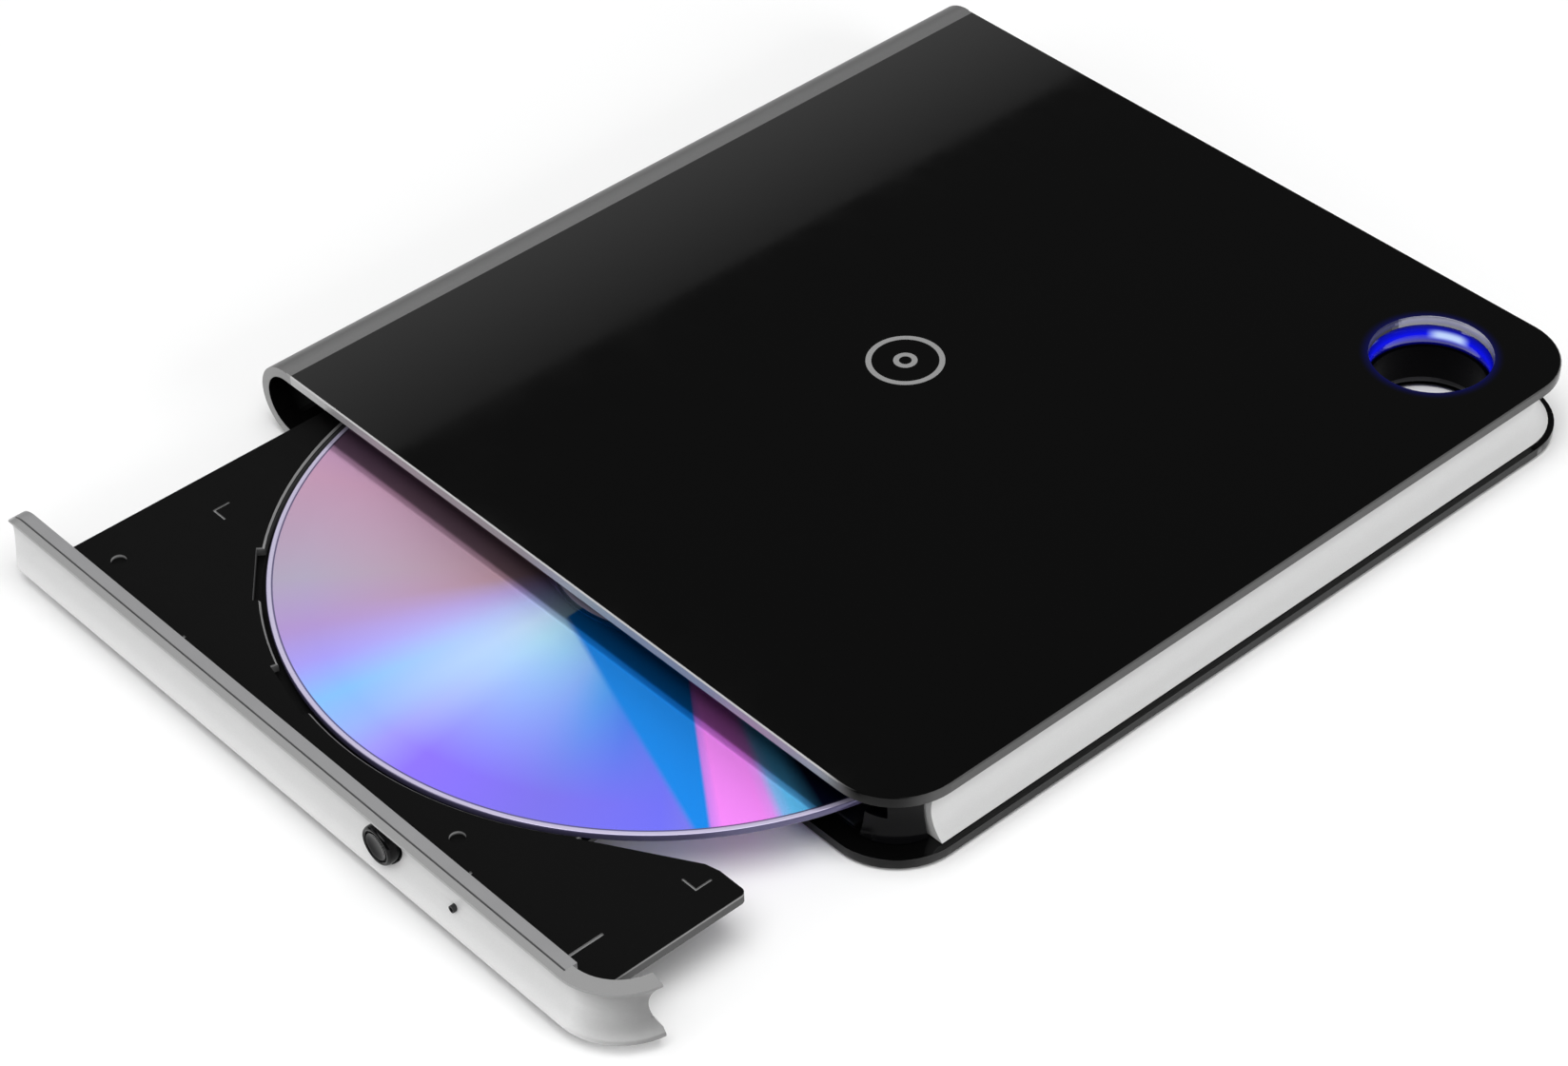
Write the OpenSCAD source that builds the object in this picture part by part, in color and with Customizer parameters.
// Slim external optical drive with a disc drawer, a folded sheet-like cover and a
// lit finger ring in one rear corner. Millimetres, +Z up. The origin is on the
// surface that the feet stand on, under the middle of the housing. The drawer
// slides out towards -Y and is drawn part-way open.

/* [Housing] */
// Width across the rolled spine and the right edge
body_w = 145; // [144:1:150]
// Depth of the housing, front edge to rear edge
body_d = 148; // [148:1:156]
// Thickness of the cover, without the feet
body_h = 13.6; // [13.6:0.1:15]
// How far the rubber feet stand below the cover
foot_h = 0.4; // [0.3:0.1:1]
// Thickness of the folded cover
plate_t = 1.7; // [1.5:0.1:1.8]
// Plan radius of the two right-hand corners
corner_r = 11; // [10.5:0.5:12]
// Small chamfer along the edges of the cover
edge_chamfer = 0.2; // [0.1:0.05:0.4]

/* [Drawer] */
// How far the drawer stands open
tray_out = 50.2; // [45:0.1:60]
// Width of the disc tray
tray_w = 123.6; // [122:0.2:124]
// Length of the disc tray behind its bezel
tray_len = 125.3; // [124:0.1:125.5]
// Depth of the hollow in the bezel's front
bezel_hollow = 2.1; // [1.5:0.1:2.3]

/* [Disc] */
// Radius of the disc
disc_r = 60; // [60:0.1:60]
// Thickness of the disc
disc_t = 1.2; // [1.1:0.05:1.3]

/* [Ring] */
// Radius of the finger hole in the rear corner
ring_r = 9.4; // [8:0.1:9.8]

/* [Hidden] */
$fn = 96;

eps = 0.01;

// Housing limits
x_left = -body_w / 2;
x_right = body_w / 2;
y_front = -body_d / 2;
y_rear = body_d / 2;
z_under = foot_h;
z_top = foot_h + body_h;
z_mid = (z_under + z_top) / 2;
z_floor = z_under + plate_t;
z_roof = z_top - plate_t;
spine_r = body_h / 2;
spine_x = x_left + spine_r;
corner_x = x_right - corner_r;
corner_yf = y_front + corner_r;
corner_yr = y_rear - corner_r;
gap = 0.1;

// Finger ring
ring_x = x_right - 17.6;
ring_y = y_rear - 17;
ring_fillet = 1.1;
ring_mouth_r = ring_r + 0.3;
sleeve_r = ring_r + 2;
light_low = z_floor + 6.1;
light_wall = 1.3;

// Bezel profile: distance behind the lip, and the hollow's circle
bezel_h = z_roof - z_floor - 0.4;
bezel_deep = 3.5;
face_deep = 1.25;
frame_gap = 0.3;
lip_flat = 0.45;
hollow_half = bezel_h / 2 - lip_flat;
hollow_r = (hollow_half * hollow_half + bezel_hollow * bezel_hollow) / (2 * bezel_hollow);
face_t = 0.9;
hook_t = 2.7;
hook_turn = 80;
hook_end_r = 6.4;
hook_end_in = 1.2;

// Drawer places, part-way open
y_lip = y_front - tray_out;
y_tray = y_lip + bezel_deep;
tray_x0 = -58.5;
tray_x1 = tray_x0 + tray_w;
tray_top = z_floor + 7.2;
tray_flange = 1.7;
tray_under = z_floor + 4.5;
tray_step = 4.6;
disc_x = 4.2;
disc_y = y_tray + 65.5;
disc_top = tray_top - 0.2;
disc_low = disc_top - disc_t;
disc_hole_r = 7.5;
recess_r = disc_r + 0.7;
recess_floor = disc_low - 0.5;
cut_x = 41.2;
cut_y = disc_y - 38.9;
tray_y1 = y_tray + tray_len;

// Mechanism chassis
sheet = 0.5;
case_x0 = -60.7;
case_x1 = 67.3;
case_y0 = y_front + 3.8;
case_y1 = case_y0 + 126.5;
case_z0 = z_floor + gap;
case_z1 = case_z0 + 9.5;
notch_x = 42.5;
notch_y = case_y1 - 11.8;
nose_x = 60.5;
nose_y = corner_yf + 0.5;
chassis_top_z = case_z0 + sheet;

// Slide rails: half widths of guide, rail and runner
rail_left_x = -55.5;
rail_right_x = 37.5;
guide_half = 3.7;
guide_wall = 0.6;
guide_z1 = chassis_top_z + 3.6;
guide_y0 = case_y0 + 1;
guide_len = 119;
rail_half = 2.8;
rail_z0 = chassis_top_z + 0.7;
rail_h = 2.0;
rail_len = 118;
rail_y0 = guide_y0 + 0.5 - tray_out / 2;
runner_y0 = y_tray + 2.5;
runner_len = 115;

// Traverse: u runs from the spindle along the sled, v across it
sled_dir = 135;
rod_r = 0.8;
rod_v = 12.5;
rod_z = chassis_top_z + 2.4;
rod_u0 = 14.2;
rod_u1 = 60;
lens_u = 32;
sled_back = 8;
sled_front = 6;
screw_v = -16;
screw_r = 0.8;
screw_u0 = 15.4;
screw_u1 = 60;
run_fit = 0.06;
frame_z = chassis_top_z + 0.9;
frame_t = 0.6;
lens_z = frame_z + 2.2;
base_cover_z = chassis_top_z + 0.3;
base_cover_t = 0.4;

// Eject button, pinhole, latch
button_x = 21.7;
button_r = 3.1;
pin_x = 36.8;
pin_z = z_mid - 1.9;
hook_x = 18.1;
hook_y = y_tray + 9;
latch_x = hook_x + 3.1;
latch_y = hook_y + 5.6;
post_hollow_r = 10;
post_hollow_x = 16.8;
post_r = 1.0;
post_h = 1.5;

// Connector at the rear
usb_x = -30;
usb_z = z_mid - 0.8;
usb_w = 9;
usb_h = 3.2;
board_z = chassis_top_z + 0.9;
board_t = 1.2;
trim_in = 1.0;
trim_wide = 3.8;
trim_half = (z_roof - z_floor) / 2 - gap;
trim_hollow = 2.2;
trim_arc = trim_half - gap;
trim_r = (trim_arc * trim_arc + trim_hollow * trim_hollow) / (2 * trim_hollow);

// ---- shared shapes -------------------------------------------------------

// Extrudes a flat shape drawn in X and Z along +Y
module along_y(y0, y1) {
    translate([0, y1, 0]) rotate([90, 0, 0]) linear_extrude(y1 - y0) children();
}

// Extrudes a flat shape drawn in Y and Z along +X
module along_x(x0, x1) {
    translate([x0, 0, 0]) rotate([90, 0, 90]) linear_extrude(x1 - x0) children();
}

// A flat plate of the cover, chamfered round its outer top edge
module cover_plate() {
    c = edge_chamfer;
    along_y(corner_yf, corner_yr)
        polygon([[spine_x, 0], [x_right, 0], [x_right, plate_t - c], [x_right - c, plate_t],
                 [spine_x, plate_t]]);
    along_x(spine_x, corner_x)
        polygon([[y_front, 0], [y_rear, 0], [y_rear, plate_t - c], [y_rear - c, plate_t],
                 [y_front + c, plate_t], [y_front, plate_t - c]]);
    for (end = [[corner_yf, -90], [corner_yr, 0]])
        translate([corner_x, end[0], 0])
            rotate([0, 0, end[1]])
                rotate_extrude(angle = 90)
                    polygon([[0, 0], [corner_r, 0], [corner_r, plate_t - c],
                             [corner_r - c, plate_t], [0, plate_t]]);
}

// The bore of the ring through one plate, rounded where it meets the surface
module ring_mouth() {
    translate([ring_x, ring_y, 0]) {
        translate([0, 0, -1]) cylinder(r = ring_mouth_r, h = plate_t + 2);
        rotate_extrude()
            difference() {
                translate([0, plate_t - ring_fillet]) square([ring_mouth_r + ring_fillet, 1]);
                translate([ring_mouth_r + ring_fillet, plate_t - ring_fillet])
                    circle(r = ring_fillet);
            }
    }
}

// Places children at a plate: the upper one, or the lower one turned over
module on_plate(upper) {
    translate([0, 0, upper ? z_roof : z_floor]) mirror([0, 0, upper ? 0 : 1]) children();
}

// Plan of the mechanism's case, with room for the hook and for the ring
module case_plan() {
    polygon([[case_x0, case_y0], [nose_x, case_y0], [nose_x, nose_y], [case_x1, nose_y],
             [case_x1, notch_y], [notch_x, notch_y], [notch_x, case_y1], [case_x0, case_y1]]);
}

// Section of the right-hand trim, hollowed on its outer side; x starts at x0
module trim_section(x0) {
    difference() {
        translate([x0, z_mid - trim_half]) square([trim_wide, 2 * trim_half]);
        translate([x0 + trim_wide - trim_hollow + trim_r, z_mid]) circle(r = trim_r);
    }
}

// Whole bezel section: x is the distance from the corner's centre, lip outermost
module bezel_section(deep) {
    difference() {
        translate([corner_r - deep, z_mid - bezel_h / 2]) square([deep, bezel_h]);
        translate([corner_r - bezel_hollow + hollow_r, z_mid]) circle(r = hollow_r);
    }
}

// The part of the bezel section that belongs to the outer face
module face_section() {
    intersection() {
        bezel_section(bezel_deep);
        union() {
            translate([corner_r - face_deep, 0]) square([face_deep, z_top]);
            translate([corner_r - bezel_hollow + hollow_r, z_mid]) circle(r = hollow_r + face_t);
        }
    }
}

// The part of the bezel section behind the face
module frame_section() {
    difference() {
        bezel_section(bezel_deep);
        translate([corner_r - face_deep - frame_gap, 0]) square([bezel_deep, z_top]);
        translate([corner_r - bezel_hollow + hollow_r, z_mid])
            circle(r = hollow_r + face_t + gap / 2);
    }
}

// Runs a section along the front, round the right-hand hook and into the rounded end
module bezel_run() {
    y_centre = y_lip + corner_r;
    translate([0, y_centre, 0]) {
        translate([spine_x, 0, 0])
            rotate([90, 0, 90]) linear_extrude(corner_x - spine_x) mirror([1, 0]) children(0);
        if ($children > 1)
            translate([corner_x, 0, 0]) rotate([0, 0, -90]) rotate_extrude(angle = hook_turn) children(1);
    }
    intersection() {
        translate([spine_x - bezel_h / 2, y_centre, 0])
            rotate([90, 0, 90]) linear_extrude(bezel_h / 2 + eps) mirror([1, 0]) children(0);
        translate([spine_x, y_lip - 1, z_mid]) rotate([-90, 0, 0]) cylinder(r = bezel_h / 2, h = 6);
    }
}

// Round hole or pin running along Y
module pin_y(x, z, r, y0, y1) {
    translate([x, y0, z]) rotate([-90, 0, 0]) cylinder(r = r, h = y1 - y0);
}

// Moves children to the spindle, with X along the sled's travel
module at_spindle() {
    translate([disc_x, disc_y, 0]) rotate([0, 0, sled_dir]) children();
}

// Round bar along the sled's travel
module bar_u(u0, u1, v, z, r) {
    translate([u0, v, z]) rotate([0, 90, 0]) cylinder(r = r, h = u1 - u0);
}

// Fixed C-shaped guide on the chassis floor
module rail_guide(x) {
    inner = guide_half - guide_wall;
    translate([x, 0, 0])
        along_y(guide_y0, guide_y0 + guide_len)
            difference() {
                translate([-guide_half, chassis_top_z]) square([2 * guide_half, guide_z1 - chassis_top_z]);
                translate([-inner, chassis_top_z + 0.4]) square([2 * inner, 2.6]);
                translate([-2.3, chassis_top_z + 1]) square([4.6, 5]);
            }
}

// Middle member of a telescopic slide
module slide_rail(x) {
    translate([x, 0, 0])
        along_y(rail_y0, rail_y0 + rail_len)
            difference() {
                translate([-rail_half, rail_z0]) square([2 * rail_half, rail_h]);
                translate([-2.2, rail_z0 + 0.5]) square([4.4, 1.1]);
                translate([-1.4, rail_z0 + 1]) square([2.8, 2]);
            }
}

// T-shaped runner under the tray, held by a slide rail
module tray_runner(x) {
    translate([x, 0, 0])
        along_y(runner_y0, runner_y0 + runner_len) {
            translate([-1.8, rail_z0 + 0.8]) square([3.6, 0.5]);
            translate([-1, rail_z0 + 0.8]) square([2, tray_under - rail_z0]);
        }
}

// ---- housing -------------------------------------------------------------

foot_r = 5;
foot_sink = 0.5;
feet = [[-58, -60], [56, -60], [-58, 60], [33, 62]];
screws = [[-50, -40], [50, -40], [-50, 30], [30, 30]];
screw_head_r = 1.8;
screw_head_z = z_under + 0.3;
screw_head_h = 0.6;
screw_shank_r = 1.0;

module cover_shell() {
    color("#1b1b1d")
        difference() {
            union() {
                on_plate(true) cover_plate();
                on_plate(false) cover_plate();
                translate([spine_x, 0, z_mid])
                    along_y(y_front, y_rear)
                        difference() {
                            intersection() {
                                circle(r = spine_r);
                                translate([-body_h, -body_h]) square([body_h + 0.5, 2 * body_h]);
                            }
                            circle(r = spine_r - plate_t);
                            translate([0, -spine_r + plate_t]) square([1, 2 * (spine_r - plate_t)]);
                        }
            }
            on_plate(true) ring_mouth();
            on_plate(false) ring_mouth();
            for (p = feet)
                translate([p[0], p[1], z_under - 1]) cylinder(r = foot_r + gap, h = 1 + foot_sink);
            for (p = screws) {
                translate([p[0], p[1], z_under - 1])
                    cylinder(r = screw_head_r + 0.2, h = 1 + screw_head_z - z_under + screw_head_h);
                translate([p[0], p[1], 0]) cylinder(r = screw_shank_r + gap, h = 5);
            }
        }
}

// Concave side trim, round the rear corner and across the rear, with the spine's plug
module edge_trim() {
    x0 = x_right - trim_in - trim_wide;
    port_w = usb_w + 6;
    port_h = usb_h + 3.6;
    y_in = corner_yr + x0 - corner_x;
    y_out = y_rear - trim_in;
    plug_r = spine_r - plate_t - 2 * gap;
    color("#c9cacc")
        difference() {
            union() {
                along_y(corner_yf - 0.8, corner_yr) trim_section(x0);
                translate([corner_x, corner_yr, 0]) rotate_extrude(angle = 90) trim_section(x0 - corner_x);
                along_x(spine_x, corner_x) translate([y_in - x0, 0]) trim_section(x0);
                translate([usb_x - port_w / 2, y_in, usb_z - port_h / 2])
                    cube([port_w, trim_wide - 0.3, port_h]);
                along_y(y_in + gap, y_out - trim_hollow - gap)
                    translate([spine_x, z_mid])
                        intersection() {
                            circle(r = plug_r);
                            translate([-plug_r, -plug_r]) square([plug_r + 1, 2 * plug_r]);
                        }
            }
            along_y(y_in - 1, y_rear)
                translate([usb_x, usb_z]) {
                    for (s = [-1, 1])
                        translate([s * (usb_w - usb_h) / 2, 0]) circle(r = usb_h / 2 + 0.15);
                    square([usb_w - usb_h, usb_h + 0.3], center = true);
                }
        }
}

// Inner corner at the front, which the hook of the bezel covers when shut
module corner_frame() {
    color("#141415")
        difference() {
            translate([corner_x, corner_yf, 0])
                rotate([0, 0, -84])
                    rotate_extrude(angle = 74)
                        difference() {
                            translate([4.6, z_floor + gap]) square([3.4, z_roof - z_floor - 2 * gap]);
                            translate([post_hollow_x, z_mid]) circle(r = post_hollow_r);
                        }
            translate([corner_x - 1, y_front, tray_under - 0.5])
                cube([tray_x1 + 0.4 - corner_x + 1, corner_r + 1, tray_top - tray_under + 1]);
        }
}

module ring_sleeve() {
    color("#101012")
        translate([ring_x, ring_y, 0])
            rotate_extrude()
                polygon([[ring_r, z_floor + gap], [sleeve_r, z_floor + gap], [sleeve_r, z_roof - gap],
                         [sleeve_r - 0.6, z_roof - gap], [sleeve_r - 0.6, light_low],
                         [ring_r, light_low]]);
}

// Translucent light guide set into the sleeve, bulging slightly into the hole
module light_ring() {
    mid = (light_low + z_roof) / 2;
    half = (z_roof - light_low) / 2 - gap / 2;
    color("#2030e0")
        translate([ring_x, ring_y, 0])
            rotate_extrude()
                intersection() {
                    translate([ring_r, mid - half]) square([light_wall, 2 * half]);
                    translate([ring_r + 4.02, mid]) circle(r = 4);
                }
}

module rubber_feet() {
    color("#242424")
        for (p = feet)
            translate([p[0], p[1], 0]) {
                cylinder(r1 = foot_r - 0.2, r2 = foot_r, h = 0.2);
                translate([0, 0, 0.2]) cylinder(r = foot_r, h = z_under + foot_sink - 0.2);
            }
}

module case_screws() {
    color("#8d8d90")
        for (p = screws)
            translate([p[0], p[1], screw_head_z])
                difference() {
                    union() {
                        cylinder(r = screw_head_r, h = screw_head_h);
                        cylinder(r = screw_shank_r, h = 1.9);
                    }
                    for (turn = [0, 90])
                        rotate([0, 0, turn])
                            translate([-1, -0.2, -1]) cube([2, 0.4, 1.35]);
                }
}

// ---- fixed mechanism -----------------------------------------------------

module chassis_base() {
    wall_h = case_z1 - sheet - case_z0;
    color("#a9abad")
        difference() {
            translate([0, 0, case_z0]) {
                linear_extrude(sheet) case_plan();
                translate([case_x0, case_y0, 0]) cube([sheet, case_y1 - case_y0, wall_h]);
                translate([case_x1 - sheet, nose_y, 0]) cube([sheet, notch_y - nose_y, wall_h]);
                translate([case_x0, case_y1 - sheet, 0]) cube([notch_x - case_x0, sheet, wall_h]);
                translate([notch_x - sheet, notch_y - sheet, 0])
                    cube([sheet, case_y1 - notch_y + sheet, wall_h]);
                translate([notch_x - sheet, notch_y - sheet, 0])
                    cube([case_x1 - notch_x + sheet, sheet, wall_h]);
            }
            for (p = screws) translate([p[0], p[1], 0]) cylinder(r = screw_shank_r + gap, h = 5);
        }
}

module chassis_top() {
    color("#b4b6b8")
        difference() {
            translate([0, 0, case_z1 - sheet]) linear_extrude(sheet) case_plan();
            for (x = [-40, 40])
                translate([x, 30, case_z1 - sheet - 1]) cylinder(r = 3, h = 3);
        }
}

module rail_guide_left() { color("#8f9193") rail_guide(rail_left_x); }
module rail_guide_right() { color("#8f9193") rail_guide(rail_right_x); }
module slide_rail_left() { color("#b9babc") slide_rail(rail_left_x); }
module slide_rail_right() { color("#b9babc") slide_rail(rail_right_x); }

module latch_post() {
    color("#9a9a9c")
        translate([latch_x, latch_y + tray_out, chassis_top_z]) {
            cylinder(r = post_r, h = post_h);
            cylinder(r = 2, h = 0.25);
        }
}

// Bridge board behind the mechanism, with its chips and coils
module main_board() {
    color("#1e5a34") {
        translate([-58, case_y1 + 0.9, board_z]) cube([98, 10.6, board_t]);
        for (chip = [[-8, 3, 6, 6, 0.9], [8, 2.5, 7, 7, 1], [22, 3, 4, 5, 1.8], [30, 3, 4, 5, 1.8]])
            translate([chip[0], case_y1 + chip[1], board_z + board_t - eps])
                cube([chip[2], chip[3], chip[4]]);
    }
}

module usb_socket() {
    depth = 7.4;
    y_mouth = corner_yr + x_right - trim_in - corner_x - 0.5;
    wall = 0.35;
    color("#d0d1d3")
        difference() {
            union() {
                along_y(y_mouth - depth, y_mouth)
                    translate([usb_x, usb_z]) {
                        for (s = [-1, 1]) translate([s * (usb_w - usb_h) / 2, 0]) circle(r = usb_h / 2);
                        square([usb_w - usb_h, usb_h], center = true);
                    }
                translate([usb_x - usb_w / 2 + 0.6, y_mouth - depth, board_z + board_t])
                    cube([usb_w - 1.2, 2.2, usb_z - board_z - board_t]);
            }
            along_y(y_mouth - depth + 1.4, y_mouth + 1)
                translate([usb_x, usb_z])
                    difference() {
                        union() {
                            for (s = [-1, 1])
                                translate([s * (usb_w - usb_h) / 2, 0]) circle(r = usb_h / 2 - wall);
                            square([usb_w - usb_h, usb_h - 2 * wall], center = true);
                        }
                        square([usb_w - 2.6, 0.7], center = true);
                    }
        }
}

// Slim connector between the bridge board and the mechanism
module drive_connector() {
    color("#202022")
        translate([-52, case_y1 + 0.05, board_z + board_t])
            difference() {
                cube([17, 5.6, 3.4]);
                translate([1, -1, 0.9]) cube([15, 3.2, 1.6]);
            }
}

module led_board() {
    color("#1e5a34") {
        translate([33, case_y1 + 2, light_low - 0.9]) cube([9.6, 7, 0.8]);
        translate([41, case_y1 + 3.5, light_low - 0.1 - eps]) cube([1.6, 3, 1]);
    }
}

// Flexible flat cable from the tray's board back to the mechanism's rear wall
ribbon_w = 10;
ribbon_t = 0.15;
module ribbon_cable() {
    y0 = tray_y1 - 5;
    y1 = case_y1 - sheet - gap;
    z_up = frame_z + frame_t + 0.1;
    z_lo = chassis_top_z + 0.05;
    run = z_up - z_lo;
    color("#d8c9a0")
        along_x(25 - ribbon_w / 2, 25 + ribbon_w / 2)
            polygon([[y0, z_up], [y0 + 5, z_up], [y0 + 5 + 2 * run, z_lo], [y1, z_lo],
                     [y1, z_lo + ribbon_t], [y0 + 5.1 + 2 * run, z_lo + ribbon_t],
                     [y0 + 5.1, z_up + ribbon_t], [y0, z_up + ribbon_t]]);
}

// ---- drawer --------------------------------------------------------------

// Plan of the tray; the right rear is cut away along a slant and a straight edge
module tray_plan(inset) {
    x0 = tray_x0;
    x1 = tray_x1 - inset;
    difference() {
        union() {
            translate([x0, y_tray]) square([cut_x - x0, tray_len]);
            translate([x0, y_tray]) square([x1 - x0, cut_y - 1 - y_tray]);
            translate([x0, y_tray]) square([x1 - 1 - x0, cut_y - y_tray]);
            translate([x1 - 1, cut_y - 1]) circle(r = 1);
        }
        polygon([[cut_x, cut_y - 10.2], [57.2, cut_y - 0.6], [59.6, cut_y], [59.6, cut_y + 1],
                 [cut_x, cut_y + 1]]);
    }
}

// Thin L-shaped mark cut into the tray's top; side is -1 or 1
module tray_mark(x, side) {
    arm = 3;
    wide = 0.35;
    translate([x, disc_y - 43.8, tray_top - 0.25]) {
        translate([side > 0 ? -arm : 0, 0, 0]) cube([arm, wide, 1]);
        translate([side > 0 ? -wide : 0, 0, 0]) cube([wide, arm, 1]);
    }
}

module tray() {
    pocket_turns = [231, 256];
    slits = [[-30.6, 2], [36.2, 2], [57.4, 7.5]];
    color("#161617")
        difference() {
            union() {
                translate([0, 0, tray_top - tray_flange]) linear_extrude(tray_flange) tray_plan(0);
                translate([0, 0, tray_under])
                    linear_extrude(tray_top - tray_under - eps) tray_plan(tray_step);
                tray_runner(rail_left_x);
                tray_runner(rail_right_x);
            }
            translate([disc_x, disc_y, 0]) {
                translate([0, 0, recess_floor]) cylinder(r = recess_r, h = 5, $fn = 180);
                translate([0, 0, tray_top - 0.5]) cylinder(r1 = recess_r, r2 = recess_r + 0.6, h = 0.6);
                cylinder(r = 13, h = 20);
                for (turn = pocket_turns)
                    rotate([0, 0, turn])
                        translate([recess_r - 3, -6, recess_floor + 0.3]) cube([4, 12, 5]);
            }
            at_spindle() translate([17, -9, 0]) cube([46, 18, 20]);
            tray_mark(disc_x - 55.1, -1);
            tray_mark(disc_x + 56, 1);
            for (s = slits) translate([s[0], y_tray - 1, tray_top - 0.3]) cube([0.5, s[1] + 1, 1]);
            for (x = [-51.3, 29.8])
                translate([x, y_tray + 4.8, tray_top - 0.6]) cylinder(r = 1.2, h = 1);
        }
}

// Thin metal cover under the tray, slotted for the latch post
module tray_base_cover() {
    color("#9fa1a3")
        difference() {
            translate([-50.5, y_tray + 1.2, base_cover_z])
                cube([cut_x - 10.3 + 50.5, tray_len - 2.2, base_cover_t]);
            translate([latch_x - 2.2, latch_y - 3, 0]) cube([4.4, tray_len, 6]);
            translate([disc_x, disc_y, 0]) cylinder(r = 7, h = 6);
        }
}

module bezel_face() {
    color("#d4d5d7")
        difference() {
            bezel_run() {
                face_section();
                bezel_section(hook_t);
            }
            translate([corner_x, y_lip + corner_r, z_mid])
                rotate([0, 0, hook_turn - 90])
                    translate([0, hook_end_r - hook_end_in, 0])
                        rotate([0, 90, 0]) cylinder(r = hook_end_r, h = 2 * corner_r);
            pin_y(button_x, z_mid, button_r + 0.3, y_lip - 1, y_lip + 6);
            pin_y(pin_x, pin_z, 0.6, y_lip - 1, y_lip + 6);
        }
}

module bezel_frame() {
    color("#8e8f91")
        difference() {
            bezel_run() frame_section();
            pin_y(button_x, z_mid, button_r + 1.3, y_lip - 1, y_lip + 6);
            pin_y(pin_x, pin_z, 0.6, y_lip - 1, y_lip + 6);
        }
}

// Metal frame that carries the spindle, the rods and the sled motor
module traverse_frame() {
    color("#85878a")
        at_spindle()
            difference() {
                translate([0, 0, frame_z])
                    linear_extrude(frame_t)
                        difference() {
                            union() {
                                circle(r = 14);
                                translate([0, -20]) square([rod_u1 + 1.6, 35]);
                                translate([0, -12]) square([rod_u1 + 4.5, 24]);
                            }
                            translate([15.5, -11]) square([47, 22]);
                        }
                translate([0, 0, frame_z - 1]) cylinder(r = 3.2, h = 5);
            }
}

// Polished guide rod with its two end clamps
module guide_rod(v) {
    at_spindle() {
        bar_u(rod_u0, rod_u1, v, rod_z, rod_r);
        for (u = [rod_u0, rod_u1 - 1.4])
            translate([u, v - 1.6, frame_z + frame_t]) cube([1.4, 3.2, rod_z - frame_z - frame_t + 1.2]);
    }
}

module guide_rod_left() { color("#c8c9cb") guide_rod(rod_v); }
module guide_rod_right() { color("#c8c9cb") guide_rod(-rod_v + 1.2); }

// Stator, bearing sleeve and base of the spindle motor
module spindle_motor() {
    color("#6e7073")
        translate([disc_x, disc_y, 0])
            difference() {
                union() {
                    translate([0, 0, frame_z + frame_t]) cylinder(r = 9.6, h = 0.4);
                    translate([0, 0, frame_z]) cylinder(r = 2.6, h = 2.6);
                }
                translate([0, 0, frame_z + 0.3]) cylinder(r = 1 + run_fit, h = 5);
            }
}

// Turntable with its rotor cup, shaft, centring boss and three disc claws
module turntable() {
    boss_h = disc_top + 1.3;
    color("#2c2d30")
        translate([disc_x, disc_y, 0]) {
            difference() {
                translate([0, 0, frame_z + frame_t + 0.8])
                    cylinder(r = 11.4, h = disc_low - frame_z - frame_t - 0.8);
                translate([0, 0, frame_z]) cylinder(r = 10.2, h = 2.6 + 0.4);
            }
            translate([0, 0, disc_low - eps]) cylinder(r = disc_hole_r - 0.15, h = disc_t + 0.2);
            translate([0, 0, disc_top + 0.2 - eps])
                cylinder(r1 = disc_hole_r - 0.15, r2 = 5.2, h = boss_h - disc_top - 0.2);
            translate([0, 0, frame_z + 0.5]) cylinder(r = 1, h = 3);
        }
}

module disc() {
    color("#b9a6e6")
        translate([disc_x, disc_y, disc_low])
            difference() {
                cylinder(r = disc_r, h = disc_t, $fn = 180);
                translate([0, 0, -1]) cylinder(r = disc_hole_r, h = disc_t + 2);
            }
}

// Sled that carries the laser optics, running on the two rods
module pickup_sled() {
    low = frame_z + 0.2;
    high = tray_under - 0.3;
    arm_low = frame_z + frame_t + 0.2;
    color("#55585c")
        at_spindle()
            difference() {
                union() {
                    translate([lens_u - sled_back, -9.4, low])
                        cube([sled_back + sled_front, 18.8, high - low]);
                    translate([lens_u - sled_back, rod_v - 4, arm_low]) cube([10, 6, high - arm_low]);
                    translate([lens_u - 5, -rod_v - 1, arm_low]) cube([6, 6, high - arm_low]);
                    translate([lens_u - 4, screw_v + screw_r + 0.1, arm_low])
                        cube([4, -rod_v - screw_v + 3, high - arm_low]);
                }
                bar_u(0, 80, rod_v, rod_z, rod_r + run_fit);
                bar_u(0, 80, -rod_v + 1.2, rod_z, rod_r + run_fit);
                translate([lens_u - 5, -5, low + 0.6]) cube([10, 10, 5]);
            }
}

// Suspended lens holder, free to move up and down in the sled
module lens_holder() {
    color("#26272a")
        at_spindle()
            difference() {
                translate([lens_u - 4.5, -4.5, lens_z - 0.8]) cube([9, 9, 2]);
                translate([lens_u, 0, lens_z]) cylinder(r = 2.4, h = 3);
            }
}

module objective_lens() {
    color("#bcd4e8")
        at_spindle()
            translate([lens_u, 0, lens_z]) {
                cylinder(r = 2.4, h = 0.8);
                intersection() {
                    translate([0, 0, -2.2]) sphere(r = 3.6);
                    translate([0, 0, 0.8 - eps]) cylinder(r = 2.2, h = 2);
                }
            }
}

// Stepper motor that drives the lead screw
module sled_motor() {
    color("#8b8d90")
        at_spindle()
            difference() {
                union() {
                    translate([3.5, screw_v - 3.6, frame_z + frame_t]) cube([8, 7.2, 2.3]);
                    translate([11.4, screw_v - 2.4, frame_z + frame_t]) cube([2.6, 4.8, 2]);
                }
                bar_u(10, 20, screw_v, rod_z, screw_r + run_fit);
            }
}

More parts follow.
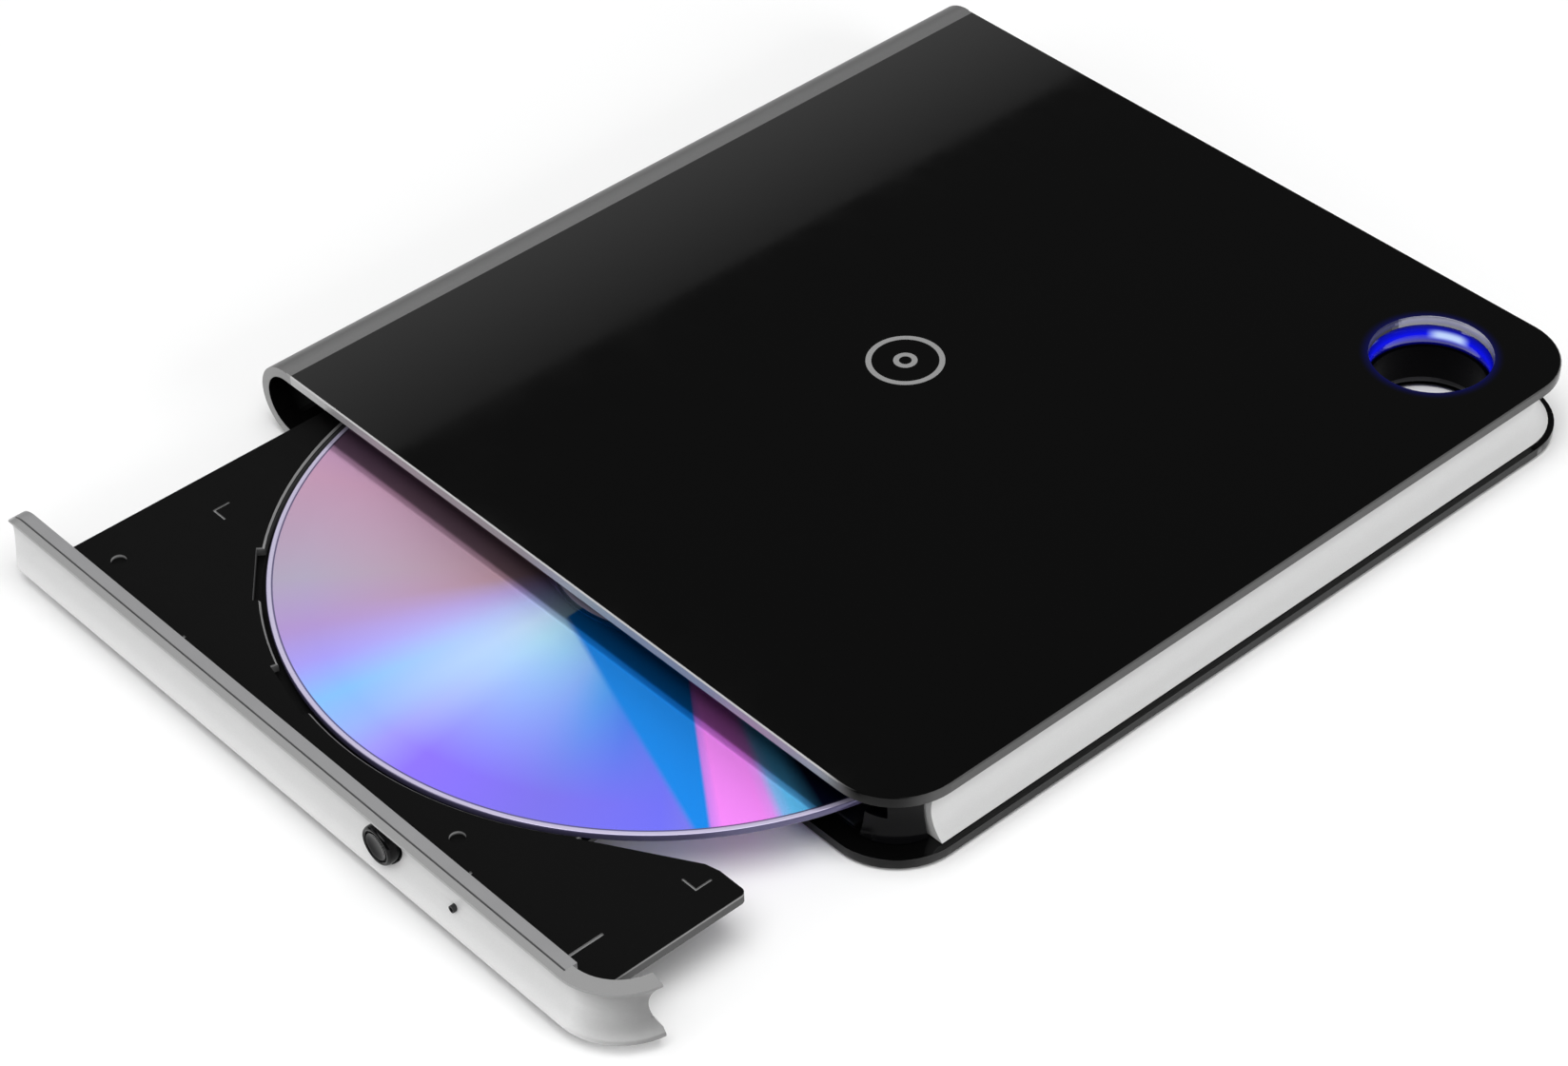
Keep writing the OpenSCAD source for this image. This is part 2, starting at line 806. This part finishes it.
module lead_screw() {
    color("#d3b56a")
        at_spindle() {
            bar_u(10.4, screw_u0, screw_v, rod_z, screw_r);
            bar_u(screw_u0 - eps, screw_u1 - 2, screw_v, rod_z, screw_r - 0.15);
            for (k = [0 : 13]) bar_u(screw_u0 + 1 + 3 * k, screw_u0 + 1.8 + 3 * k, screw_v, rod_z, screw_r);
            bar_u(screw_u1 - 2 - eps, screw_u1, screw_v, rod_z, screw_r - 0.3);
        }
}

module screw_bearing() {
    color("#1c1c1e")
        at_spindle()
            difference() {
                translate([screw_u1 - 1.4, screw_v - 1.8, frame_z + frame_t])
                    cube([2.2, 3.6, rod_z - frame_z - frame_t + 1.4]);
                bar_u(screw_u1 - 3, screw_u1 + 0.2, screw_v, rod_z, screw_r - 0.3 + run_fit);
            }
}

// Small circuit board on the tray, with its cable connector
module tray_board() {
    color("#1e5a34") {
        translate([19.5, tray_y1 - 50, frame_z + frame_t + 0.4]) cube([12, 45, 0.8]);
        translate([20, tray_y1 - 16, frame_z + frame_t + 1.2 - eps]) cube([11, 6, 0.7]);
        translate([21, tray_y1 - 40, frame_z + frame_t + 1.2 - eps]) cube([8, 8, 0.6]);
    }
}

module eject_switch() {
    color("#e6e6e2") {
        translate([button_x - 2.5, y_tray + 3, base_cover_z + base_cover_t])
            cube([5, 3.2, tray_under - base_cover_z - base_cover_t]);
        translate([button_x - 0.8, y_tray + 2.4, z_mid - 2.2]) cube([1.6, 0.6 + eps, 1]);
    }
}

// Magnet coil that frees the latch hook
module eject_solenoid() {
    color("#b06a34") {
        translate([hook_x - 19, hook_y - 3, base_cover_z + base_cover_t])
            cube([11, 6, tray_under - base_cover_z - base_cover_t]);
        translate([hook_x - 8 - eps, hook_y - 1, base_cover_z + base_cover_t + 0.6])
            cube([5.5, 2, 1.2]);
    }
}

// Hooked lever that grips the post on the chassis, with its pivot pin
module latch_hook() {
    z0 = base_cover_z + base_cover_t + 0.2;
    color("#77797c")
        translate([hook_x, hook_y, 0]) {
            translate([0, 0, z0])
                linear_extrude(0.7)
                    union() {
                        circle(r = 2);
                        translate([-1, 0]) square([3, 8.2]);
                        translate([-1, 6.8]) square([4.6, 1.4]);
                    }
            translate([0, 0, z0]) cylinder(r = 0.8, h = tray_under - z0 - 0.1);
        }
}

// Round cap with its retaining foot and push stem
module eject_button() {
    color("#18181a") {
        pin_y(button_x, z_mid, button_r, y_lip + 0.5, y_lip + 2.8);
        translate([button_x - 1.6, y_lip + 2.7, z_mid - 2.8]) cube([3.2, 0.7, 2]);
        translate([button_x - 1.6, y_lip + 3.3, z_mid - 3.7]) cube([3.2, 0.6, 2.9]);
        pin_y(button_x, z_mid - 2.2, 0.7, y_lip + 3.9 - eps, y_lip + 5.2);
    }
}

cover_shell();
edge_trim();
corner_frame();
ring_sleeve();
light_ring();
rubber_feet();
case_screws();
chassis_base();
chassis_top();
rail_guide_left();
rail_guide_right();
latch_post();
main_board();
usb_socket();
drive_connector();
led_board();
ribbon_cable();
slide_rail_left();
slide_rail_right();
tray();
tray_base_cover();
bezel_face();
bezel_frame();
traverse_frame();
guide_rod_left();
guide_rod_right();
spindle_motor();
sled_motor();
screw_bearing();
tray_board();
eject_switch();
eject_solenoid();
latch_hook();
eject_button();
turntable();
disc();
pickup_sled();
lens_holder();
objective_lens();
lead_screw();
